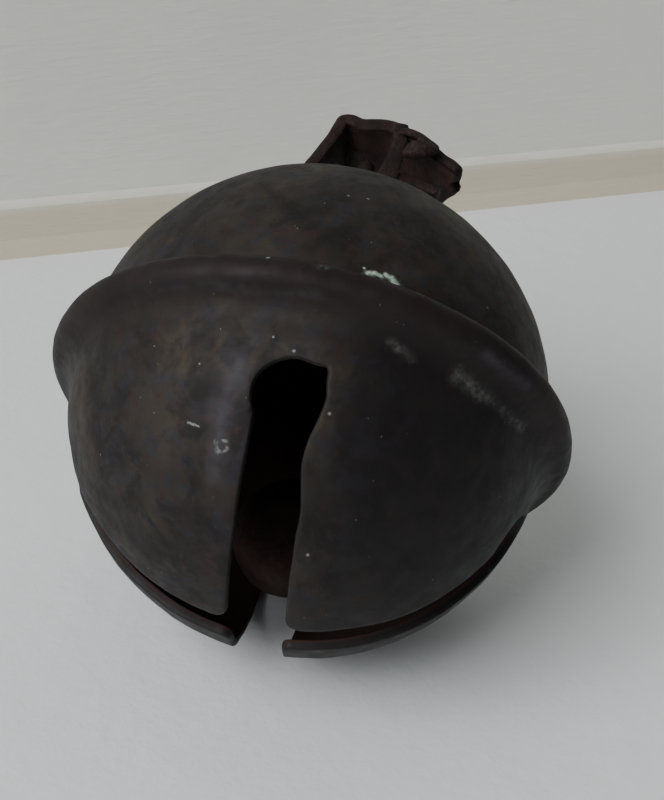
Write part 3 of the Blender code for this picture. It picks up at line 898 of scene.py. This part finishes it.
DARK_PATINA = (0.011, 0.009, 0.0085)
MID_PATINA = (0.028, 0.023, 0.0185)
BLUE_GREY = (0.0185, 0.0180, 0.0245)
RED_BROWN = (0.027, 0.0155, 0.0145)
OLIVE_BROWN = (0.036, 0.031, 0.020)
BEAD_BROWN = (0.0125, 0.0078, 0.0078)
# Dark tone of the painted shade on the lower petals at the right and the back
PAINTED_SHADE = (0.009, 0.0078, 0.0085)
TAN = (0.100, 0.072, 0.042)
# Pale bluish tone of the painted highlights on the bead and the left petal
PAINTED_HIGHLIGHT = (0.100, 0.098, 0.125)
RUBBED_EDGE = (0.020, 0.0175, 0.018)
DUSTY_BROWN = (0.040, 0.028, 0.026)
VERDIGRIS = (0.240, 0.350, 0.270)
CHALK = (0.500, 0.520, 0.480)
RUST = (0.046, 0.020, 0.015)
DARK_IRON = (0.030, 0.0165, 0.0145)
BROWN_IRON = (0.056, 0.0265, 0.0210)
DARK_WIRE = (0.012, 0.008, 0.007)
BROWN_WIRE = (0.022, 0.012, 0.009)
BRIGHT_WIRE = (0.045, 0.026, 0.018)
FLESH_SIDE = (0.052, 0.026, 0.021)
STRAP_TONES = ((0.0100, 0.0052, 0.0045), (0.0240, 0.0112, 0.0095), (0.0250, 0.0155, 0.0140))
THONG_TONES = ((0.0100, 0.0055, 0.0050), (0.0200, 0.0105, 0.0090), (0.0520, 0.0330, 0.0290))

# Marks on the bell's outer face. Each is the half-width of a spot or streak and the places that it
# goes through, each place as degrees round to the right of the front slot and height.
CRUST_MARKS = [(0.55, (10.5, 2.2), (12, 2.6)), (0.5, (12, 2.6), (13.5, 2.4)), (0.6, (14.5, 2.9), (16, 2.6)),
               (0.8, (16, 2.6), (17, 1.8)), (0.65, (17, 1.8), (18, 0.9)), (0.3, (9.5, 2.9))]
FAINT_CRUST_MARKS = [(0.5, (9, 1.2), (11.5, 1.2), (13, 0.8)), (0.5, (14, 1), (16, 0.8))]
GREEN_MARKS = [(1.5, (10.5, 2), (17, 2)), (1.6, (1.5, -1)), (1.5, (21, 0))]
PALE_MARKS = [(0.45, (-9.5, -1)), (0.35, (-1, -12.5)), (0.3, (-6, -11)), (0.25, (-34.5, -12.5)),
              (0.22, (-22, -15.5)), (0.32, (2, 17)), (0.32, (7, 17.5)), (0.18, (-3, 14)), (0.35, (10, -19.5)),
              (0.38, (18, -35))]
CHIP_MARKS = [(0.3, (-24.5, -23), (-23, -23.3)), (0.24, (-23, -23.2), (-21.5, -23.5))]
RING_MARK = (-15, -25.7)
PALE_CLOUDS = [(1.3, (19, -7.5), (24, -8.5)), (2.4, (35.5, -8), (43, -8)), (1.6, (43, -8), (60, -7.5)),
               (2.6, (-80, -5.5))]
# Painted highlight: a bluish streak along the bead's lower flank at the left and front
BEAD_HIGHLIGHT_MARKS = [(1.2, (-35, -5), (-21, -5)), (1.4, (-21, -5), (2, -5))]
# Painted highlights: sheen streaks on the left petal beside the front slot and on the bead at the right
SHEEN_HIGHLIGHT_MARKS = [(3.6, (-13, -15), (-15.5, -22.5)), (2.6, (-15.5, -22.5), (-16.5, -29)),
               (1.8, (38, -4.5), (51, -4.5))]
TAN_MARKS = [(1.7, (-27, -10), (-26, -17)), (1.1, (-17, -11.5), (-19, -14), (-15.5, -16.5)), (1.8, (29, -38)),
             (1.8, (79, -36.5)), (4.0, (-63.5, -15), (-65, -26))]


def on_face(turn, height):
    """Place on the bell's outer face, on whichever of dome, bead and cup stands furthest out there."""
    circles = (((0.0, 0.0), DOME_RADIUS), (BEAD_CENTRE, BEAD_TUBE), ((0.0, -CUP_DROP), CUP_RADIUS))
    reach = max(x + math.sqrt(radius ** 2 - (height - z) ** 2) for (x, z), radius in circles
                if abs(height - z) < radius)
    angle = math.radians(turn)
    return Vector((reach * math.sin(angle), -reach * math.cos(angle), height))


# Layers of patina: the noise's settings and if the seed shifts it, where it sets in and is full, its
# strength and its tone
MOTTLING = [((16.0, 4.0, 0.6), True, 0.36, 0.66, 1.0, DARK_PATINA),
            ((7.0, 5.0, 0.6, 0.3), True, 0.52, 0.70, 0.6, OLIVE_BROWN),
            ((3.0, 4.0, 0.6, 0.4), False, 0.48, 0.64, 0.75, BLUE_GREY),
            ((2.6, 4.0, 0.6, 0.4), True, 0.50, 0.66, 0.8, RED_BROWN),
            ((8.0, 5.0, 0.65, 0.8), True, 0.48, 0.64, 0.85, DARK_PATINA)]


def mottle(look, shifted, grain):
    """Brown patina in cloudy layers, rubbed to tan in places."""
    colour = MID_PATINA
    for settings, is_shifted, low, high, strength, tone in MOTTLING:
        cloud = look.noise(*settings, vector=shifted if is_shifted else look.bell)
        colour = look.mix(look.ramp(cloud, low, high, 0.0, strength), colour, tone)
    rubbed = look.ramp(look.noise(6.5, 5.0, 0.66, 0.6), 0.56, 0.72, 0.0, 0.18)
    return look.mix(look.times(rubbed, look.ramp(grain, 0.3, 0.7, 0.4, 1.0)), colour, TAN)


def from_axis(look):
    """Distance from the bell's axis."""
    return look.vector("LENGTH", look.stretched(1.0, 1.0, 0.0))


def darken(look, colour, at_back):
    """Painted shade on the lower petals at the right and the back, a browner bead, and painted shade in the
    hollow under the bead.
    """
    x, _, z = look.split(look.bell)
    # Painted shade: the lower petals at the right and at the back are darkened
    shaded_side = look.larger(look.ramp(x, 2.0, 16.0), at_back)
    right_and_back_shade = look.times(shaded_side, look.ramp(z, -4.0, -8.0, 0.0, 0.7))
    colour = look.mix(right_and_back_shade, colour, PAINTED_SHADE)
    at_bead_height = look.ramp(z, BEAD_CENTRE[1] - 7.0, BEAD_CENTRE[1] - 2.0)
    on_bead = look.times(at_bead_height, look.ramp(from_axis(look), DOME_RADIUS + 0.4, DOME_RADIUS + 1.2))
    colour = look.mix(look.times(on_bead, 0.7), colour, BEAD_BROWN)
    # Painted shade: a dark band in the hollow under the bead
    shade_under_bead = look.ramp(look.math("ABSOLUTE", look.math("ADD", z, 8.0)), 0.5, 3.0, 0.45, 0.0)
    return look.mix(shade_under_bead, colour, DARK_PATINA)


def stain_and_highlight(look, colour):
    """Tan stains, a painted bluish highlight along the bead's lower flank, painted sheen highlights on the
    left petal and on the bead at the right, and tan dirt in the bead's crease.
    """
    tan = look.patchy(TAN_MARKS, 1.1, look.noise(1.8, 5.0, 0.7), 0.35, 0.65, 0.08, 0.25)
    colour = look.mix(tan, colour, TAN)
    # Painted highlight along the bead's lower flank
    bead_highlight = look.patchy(BEAD_HIGHLIGHT_MARKS, 1.2, look.noise(2.4, 4.0, 0.6), 0.35, 0.65, 0.02, 0.16)
    colour = look.mix(bead_highlight, colour, PAINTED_HIGHLIGHT)
    # Painted highlight: sheen streaks in the same pale bluish tone
    sheen_highlight = look.patchy(SHEEN_HIGHLIGHT_MARKS, 1.35, look.noise(4.0, 4.0, 0.6), 0.3, 0.7, 0.1, 0.3)
    colour = look.mix(sheen_highlight, colour, PAINTED_HIGHLIGHT)
    from_crease = look.math("ABSOLUTE", look.math("ADD", look.split(look.bell)[2], 0.1))
    in_crease = look.times(look.ramp(from_crease, 0.2, 0.9, 1.0, 0.0),
                           look.ramp(from_axis(look), DOME_RADIUS + 0.9, DOME_RADIUS + 0.2))
    dirt = look.times(in_crease, look.ramp(look.noise(3.0), 0.4, 0.6, 0.1, 0.5))
    return look.mix(dirt, colour, TAN)


def verdigris(look, colour):
    """The chalky green crescent by the bead, with a thin green haze. Returns colour and crescent."""
    speckle = look.ramp(look.noise(0.8, 4.0, 0.65), 0.40, 0.62)
    haze = look.times(look.any_of(GREEN_MARKS, 1.2), look.times(speckle, 0.30))
    colour = look.mix(haze, colour, VERDIGRIS)
    faint = look.times(look.any_of(FAINT_CRUST_MARKS, 0.9), 0.4)
    crescent = look.larger(look.any_of(CRUST_MARKS, 1.0), faint)
    return look.mix(crescent, colour, look.mix(speckle, VERDIGRIS, CHALK)), crescent


def pale_marks(look, shifted):
    """How chalky each place is: chips, specks, a ring, stray specks and broad pale clouds."""
    ring_place = on_face(*RING_MARK)
    ring = look.math("SUBTRACT", look.spot(1.35, ring_place, 0.5), look.spot(0.85, ring_place, 0.5))
    ring = look.times(look.larger(ring, 0.0), look.ramp(look.noise(1.3), 0.4, 0.6, 0.0, 0.45))
    stray = look.times(look.ramp(look.noise(0.7, 2.0, 0.5, vector=shifted), 0.73, 0.78),
                       look.ramp(look.noise(9.0, 3.0), 0.50, 0.60, 0.0, 0.4))
    specks = look.times(look.any_of(PALE_MARKS, 1.0), 0.6)
    chips = look.times(look.any_of(CHIP_MARKS, 0.9), 0.6)
    clouds = look.patchy(PALE_CLOUDS, 1.4, look.noise(1.7, 5.0, 0.75), 0.40, 0.70, 0.04, 0.28)
    pale = look.larger(look.larger(chips, specks), look.larger(ring, stray))
    return look.times(look.larger(pale, clouds), 0.8)


def patina(name, seed, sphere_height, sphere_radius):
    """Old sheet brass: mottled brown patina with marks, verdigris, rubbed edges and a dusty inside.

    The sphere is the sheet's own, so that its inner face can be told from its outer one.
    """
    look = Look(name)
    shifted = look.vector("ADD", look.bell, (seed, seed, seed))
    grain = look.noise(0.55, 4.0, 0.7)
    at_back = look.ramp(look.split(look.bell)[1], 2.0, 12.0)

    colour = stain_and_highlight(look, darken(look, mottle(look, shifted, grain), at_back))
    colour, crescent = verdigris(look, colour)
    pale = pale_marks(look, shifted)
    colour = look.mix(pale, colour, CHALK)
    rubbing = look.ramp(look.noise(3.0, 4.0, 0.6), 0.35, 0.62, 0.1, 0.8)
    worn = look.times(look.ramp(look.edge, 0.35, 0.9), rubbing)
    worn = look.times(worn, look.math("SUBTRACT", 1.0, at_back))
    colour = look.mix(worn, colour, RUBBED_EDGE)
    depth = look.vector("DISTANCE", look.bell, (0.0, 0.0, sphere_height))
    inside = look.ramp(depth, sphere_radius - WALL, sphere_radius - WALL / 2, 1.0, 0.0)
    dust = look.mix(look.ramp(look.noise(3.0, 5.0, 0.65), 0.35, 0.65), DUSTY_BROWN, RUST)
    colour = look.mix(inside, colour, dust)

    crust = look.larger(look.larger(crescent, pale), look.times(inside, 0.8))
    roughness = look.ramp(look.noise(3.2, 5.0, 0.65, vector=shifted), 0.3, 0.7, 0.54, 0.68)
    roughness = look.math("MULTIPLY_ADD", crust, 0.3, roughness)
    metallic = look.ramp(crust, 0.0, 0.6, 0.25, 0.0)
    swell = look.bump(look.noise(6.0, 3.0, 0.5, vector=shifted), 0.16)
    dents = look.bump(look.noise(1.7, 4.0, 0.6), 0.05, swell)
    fine = look.bump(grain, 0.022, dents)
    spun = look.bump(look.noise(1.0, 2.0, 0.5, vector=look.stretched(0.03, 0.03, 2.2)), 0.012, fine)
    crusted = look.bump(crust, 0.10, spun)
    return look.finish(colour, roughness, metallic, crusted, Specular_IOR_Level=0.2)


def rusty_iron(name):
    """Cast iron rusted dark brown, brighter in patches and flaking."""
    look = Look(name)
    blotches = look.ramp(look.noise(3.4, 6.0, 0.65, 0.5), 0.35, 0.65)
    colour = look.mix(blotches, DARK_IRON, BROWN_IRON)
    bright = look.ramp(look.noise(1.3, 5.0, 0.7), 0.56, 0.70, 0.0, 0.5)
    colour = look.mix(bright, colour, RUST)
    flakes = look.ramp(look.cells(0.9), 0.1, 0.6)
    roughness = look.ramp(look.noise(1.1, 4.0), 0.3, 0.7, 0.72, 0.95)
    rough = look.bump(look.noise(1.4, 6.0, 0.7), 0.12)
    return look.finish(colour, roughness, 0.15, look.bump(flakes, 0.05, rough))


def tarnished_wire(name):
    """Wire and plate gone nearly black, with a dull gleam in patches."""
    look = Look(name)
    blotches = look.ramp(look.noise(2.2, 5.0, 0.6), 0.35, 0.65)
    colour = look.mix(blotches, BROWN_WIRE, DARK_WIRE)
    gleam = look.ramp(look.noise(0.9, 4.0, 0.7), 0.55, 0.7, 0.0, 0.3)
    colour = look.mix(gleam, colour, BRIGHT_WIRE)
    roughness = look.ramp(look.noise(1.1, 4.0), 0.3, 0.7, 0.62, 0.82)
    drawn = look.bump(look.noise(0.6, 4.0, 0.6), 0.04)
    return look.finish(colour, roughness, 0.65, drawn)


def old_leather(name, dark, brown, worn_tone):
    """Dry, greasy black leather, cracked across, brown and fibrous where it is torn or rubbed."""
    look = Look(name)
    clouds = look.ramp(look.noise(5.0, 5.0, 0.6, 0.3), 0.35, 0.68)
    colour = look.mix(clouds, dark, brown)
    flesh = look.ramp(look.edge, -0.2, -0.8)
    colour = look.mix(flesh, colour, look.mix(clouds, FLESH_SIDE, brown))
    pores = look.cells(0.75, "DISTANCE_TO_EDGE")
    creases = look.ramp(look.noise(1.5, 5.0, 0.65, 1.2, vector=look.stretched(2.2, 0.5, 1.4)), 0.44, 0.52)
    worn = look.larger(look.ramp(look.edge, 0.35, 1.0, 0.0, 0.8),
                       look.ramp(look.noise(2.4, 5.0, 0.7), 0.58, 0.72, 0.0, 0.6))
    fibres = look.noise(0.5, 4.0, 0.7, vector=look.stretched(1.0, 0.35, 1.0))
    colour = look.mix(look.times(worn, look.ramp(fibres, 0.35, 0.65)), colour, worn_tone)
    roughness = look.ramp(worn, 0.0, 1.0, 0.52, 0.9)
    roughness = look.math("MULTIPLY_ADD", look.noise(1.5, 4.0), 0.16, roughness)
    folds = look.bump(creases, 0.10)
    skin = look.bump(look.ramp(pores, 0.0, 0.14), 0.03, folds)
    return look.finish(colour, roughness, 0.0, look.bump(fibres, 0.04, skin), Specular_IOR_Level=0.2)


def pale_paint(name, colour, lower_colour, lower_height):
    """Painted surface, of another colour up to some height in metres, brushed on unevenly."""
    look = Look(name)
    geometry = look.nodes.new("ShaderNodeNewGeometry")
    place = look.vector("MULTIPLY", geometry.outputs["Position"], (1000.0, 1000.0, 1000.0))
    height = look.split(place)[2]
    tone = look.ramp(look.noise(60.0, 3.0, vector=place), 0.3, 0.7, 0.0, 0.06)
    brushed = look.noise(2.5, 4.0, 0.6, vector=look.vector("MULTIPLY", place, (0.4, 0.4, 2.0)))
    uneven_height = look.math("MULTIPLY_ADD", brushed, 1.5, height)
    low = look.ramp(uneven_height, lower_height / MM + 2.5, lower_height / MM - 2.0)
    colour = look.mix(low, colour, lower_colour)
    colour = look.mix(tone, colour, GREY_PAINT)
    return look.finish(colour, 0.6, 0.0, look.bump(brushed, 0.25))


# ---------------------------------------------------------------- the bell

make_dome(patina("patinated_dome", 0.0, 0.0, DOME_RADIUS))
make_cup(patina("patinated_cup", 40.0, -CUP_DROP, CUP_RADIUS))
make_washer(tarnished_wire("tarnished_plate"))
make_eye(tarnished_wire("tarnished_wire"))
make_ball(rusty_iron("rusty_cast_iron"))
make_strap(old_leather("strap_hide", *STRAP_TONES))
make_thong(old_leather("thong_hide", *THONG_TONES))


# ---------------------------------------------------------------- stage, light and camera

FLOOR_PAINT = (0.800, 0.825, 0.835)
WALL_PAINT = (0.860, 0.845, 0.780)
JOINT_PAINT = (0.715, 0.640, 0.480)
GREY_PAINT = (0.5, 0.5, 0.5)
FLOOR_HALF_SIDE = 3.0
WALL_HALF_LENGTH = 2.5
WALL_DISTANCE = 0.113
WALL_TURN = math.radians(32.5)
JOINT_HEIGHT = 0.012
WALL_PROFILE = [(0.0, 0.9), (0.0, 0.013), (0.0012, 0.0115), (0.0018, 0.004), (0.003, 0.0006),
                (0.0036, -0.001)]


def add_stage(name, points, faces, material):
    mesh = bpy.data.meshes.new(name)
    mesh.from_pydata(points, [], faces)
    stage = bpy.data.objects.new(name, mesh)
    bpy.context.scene.collection.objects.link(stage)
    mesh.materials.append(material)


def make_floor():
    half = FLOOR_HALF_SIDE
    points = [(-half, -half, 0), (half, -half, 0), (half, half, 0), (-half, half, 0)]
    add_stage("sill", points, [(0, 1, 2, 3)], pale_paint("sill_paint", FLOOR_PAINT, FLOOR_PAINT, 0.0))


def hide_back(material):
    """Leaves a surface's back clear, so that it doesn't cover the bell when seen from behind."""
    nodes, links = material.node_tree.nodes, material.node_tree.links
    geometry = nodes.new("ShaderNodeNewGeometry")
    clear = nodes.new("ShaderNodeBsdfTransparent")
    choice = nodes.new("ShaderNodeMixShader")
    links.new(geometry.outputs["Backfacing"], choice.inputs["Fac"])
    links.new(nodes["Principled BSDF"].outputs["BSDF"], choice.inputs[1])
    links.new(clear.outputs["BSDF"], choice.inputs[2])
    links.new(choice.outputs["Shader"], nodes["Material Output"].inputs["Surface"])
    return material


def make_wall():
    """Wall behind the bell, with a browner, slightly proud band of paint along its foot."""
    along = Vector((math.cos(WALL_TURN), math.sin(WALL_TURN), 0.0)) * WALL_HALF_LENGTH
    forward = Vector((math.sin(WALL_TURN), -math.cos(WALL_TURN), 0.0))
    points = []
    for out, up in WALL_PROFILE:
        foot = forward * (out - WALL_DISTANCE) + Vector((0.0, 0.0, up))
        points += [foot - along, foot + along]
    faces = [(2 * i, 2 * i + 2, 2 * i + 3, 2 * i + 1) for i in range(len(WALL_PROFILE) - 1)]
    paint = pale_paint("wall_paint", WALL_PAINT, JOINT_PAINT, JOINT_HEIGHT)
    add_stage("wall", points, faces, hide_back(paint))


def area_light(name, place, target, size, power, colour):
    data = bpy.data.lights.new(name, "AREA")
    data.shape = "RECTANGLE"
    data.size, data.size_y = size
    data.energy = power
    data.color = colour
    lamp = bpy.data.objects.new(name, data)
    lamp.location = place
    lamp.rotation_euler = (Vector(target) - Vector(place)).to_track_quat("-Z", "Y").to_euler()
    bpy.context.scene.collection.objects.link(lamp)


def make_world(colour, strength):
    world = bpy.data.worlds.new("studio")
    world.use_nodes = True
    background = world.node_tree.nodes["Background"]
    background.inputs["Color"].default_value = (*colour, 1.0)
    background.inputs["Strength"].default_value = strength
    bpy.context.scene.world = world


def make_camera():
    """The camera's place from the dome's centre, and its turn, in the frame's own axes."""
    data = bpy.data.cameras.new("camera")
    data.lens = 76.5
    data.sensor_width = 36.0
    camera = bpy.data.objects.new("camera", data)
    camera.location = DOME_CENTRE + Vector((0.0230, -0.2229, 0.1595))
    camera.rotation_euler = [math.radians(angle) for angle in (54.393, -6.750, 9.898)]
    bpy.context.scene.collection.objects.link(camera)
    bpy.context.scene.camera = camera


make_floor()
make_wall()
area_light("window", (-1.48, -1.20, 1.72), (0, 0, 0.03), (2.5, 1.8), 112.0, (0.97, 0.985, 1.0))
make_world((0.97, 0.98, 1.0), 0.17)
make_camera()
